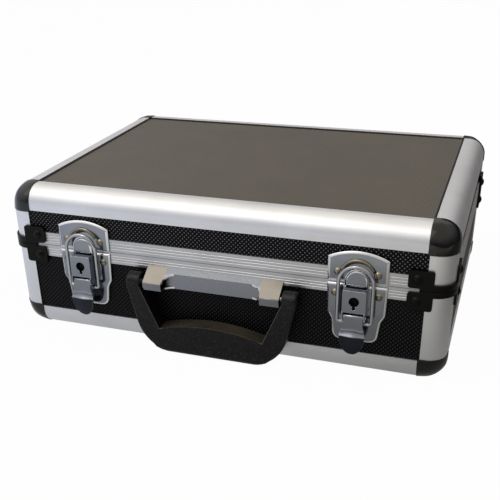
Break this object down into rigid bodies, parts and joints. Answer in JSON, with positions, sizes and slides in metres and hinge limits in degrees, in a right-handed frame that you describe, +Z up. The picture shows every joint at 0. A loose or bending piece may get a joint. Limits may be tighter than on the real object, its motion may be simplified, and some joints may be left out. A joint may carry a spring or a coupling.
{
  "type": "microphone flight case",
  "caption": "Hard case for microphones with rounded aluminium edges, black ball corners, a hinged lid, key draw latches, a swinging handle and fitted foam.",
  "frame": {"origin": "on the ground under the middle of the closed case", "axes": "+X to the right seen from the latches, +Y to the hinges at the back, +Z up"},
  "size_m": [0.3062, 0.2439, 0.1047],
  "materials": {
    "panel_board": "board faced with a dark laminate embossed with fine dimples",
    "edge_profile": "satin anodised extrusion, drawn lengthwise",
    "rim_profile": "satin anodised extrusion with fine lines",
    "black_fitting": "black moulding, semi-gloss",
    "latch_steel": "nickel plated pressed sheet, worn bright at the edges",
    "wire_steel": "bright plated wire",
    "pin_steel": "plated steel",
    "bracket_chrome": "satin chrome plated sheet",
    "handle_plastic": "black moulding, soft sheen",
    "foam": "open cell foam"
  },
  "bodies": {
    "base": {"base_floor_panel": "panel_board", "base_front_panel": "panel_board", "base_back_panel": "panel_board", "base_left_panel": "panel_board", "base_right_panel": "panel_board", "base_front_edge": "edge_profile", "base_back_edge": "edge_profile", "base_left_edge": "edge_profile", "base_right_edge": "edge_profile", "base_corner_posts": "edge_profile", "base_ball_corners": "black_fitting", "base_front_rim": "rim_profile", "base_back_rim": "rim_profile", "base_left_rim": "rim_profile", "base_right_rim": "rim_profile", "base_corner_braces": "black_fitting", "base_brace_rivets": "black_fitting", "base_rivets": "pin_steel", "base_foam": "foam", "left_latch_plate": "latch_steel", "right_latch_plate": "latch_steel", "left_lock_housing": "latch_steel", "right_lock_housing": "latch_steel", "lever_pins": "pin_steel", "handle_bracket": "bracket_chrome", "handle_pins": "pin_steel", "hinge_base_leaves": "latch_steel", "hinge_pins": "pin_steel"},
    "lid": {"lid_top_panel": "panel_board", "lid_front_panel": "panel_board", "lid_back_panel": "panel_board", "lid_left_panel": "panel_board", "lid_right_panel": "panel_board", "lid_front_edge": "edge_profile", "lid_back_edge": "edge_profile", "lid_left_edge": "edge_profile", "lid_right_edge": "edge_profile", "lid_corner_posts": "edge_profile", "lid_ball_corners": "black_fitting", "lid_front_rim": "rim_profile", "lid_back_rim": "rim_profile", "lid_left_rim": "rim_profile", "lid_right_rim": "rim_profile", "lid_corner_braces": "black_fitting", "lid_brace_rivets": "black_fitting", "lid_rivets": "pin_steel", "lid_foam": "foam", "left_keeper": "latch_steel", "right_keeper": "latch_steel", "hinge_lid_leaves": "latch_steel"},
    "left_lever": {"left_lever": "latch_steel"},
    "right_lever": {"right_lever": "latch_steel"},
    "left_bail": {"left_bail": "wire_steel"},
    "right_bail": {"right_bail": "wire_steel"},
    "left_lock_bolt": {"left_lock_bolt": "pin_steel"},
    "right_lock_bolt": {"right_lock_bolt": "pin_steel"},
    "handle": {"handle_grip": "handle_plastic"}
  },
  "joints": [
    {"name": "lid_open", "type": "hinge", "parent": "base", "child": "lid", "pos_m": [0, 0.1122, 0.06475], "axis": [-1, 0, 0], "range_deg": [0, 95]},
    {"name": "handle_swing", "type": "hinge", "parent": "base", "child": "handle", "pos_m": [0, -0.1166, 0.0504], "axis": [-1, 0, 0], "range_deg": [0, 165]},
    {"name": "left_lever_swing", "type": "hinge", "parent": "base", "child": "left_lever", "pos_m": [-0.0932, -0.117, 0.0449], "axis": [-1, 0, 0], "range_deg": [0, 110]},
    {"name": "left_bail_swing", "type": "hinge", "parent": "left_lever", "child": "left_bail", "pos_m": [-0.0932, -0.1151, 0.0402], "axis": [-1, 0, 0], "range_deg": [-137.5, 0]},
    {"name": "left_bolt_slide", "type": "slide", "parent": "base", "child": "left_lock_bolt", "axis": [0, 0, 1], "range_m": [0, 0.004]},
    {"name": "right_lever_swing", "type": "hinge", "parent": "base", "child": "right_lever", "pos_m": [0.0932, -0.117, 0.0449], "axis": [-1, 0, 0], "range_deg": [0, 110]},
    {"name": "right_bail_swing", "type": "hinge", "parent": "right_lever", "child": "right_bail", "pos_m": [0.0932, -0.1151, 0.0402], "axis": [-1, 0, 0], "range_deg": [-137.5, 0]},
    {"name": "right_bolt_slide", "type": "slide", "parent": "base", "child": "right_lock_bolt", "axis": [0, 0, 1], "range_m": [0, 0.004]}
  ],
  "couplings": [
    {"joint": "left_bail_swing", "follows": "left_lever_swing", "ratio": -1.25},
    {"joint": "right_bail_swing", "follows": "right_lever_swing", "ratio": -1.25}
  ]
}
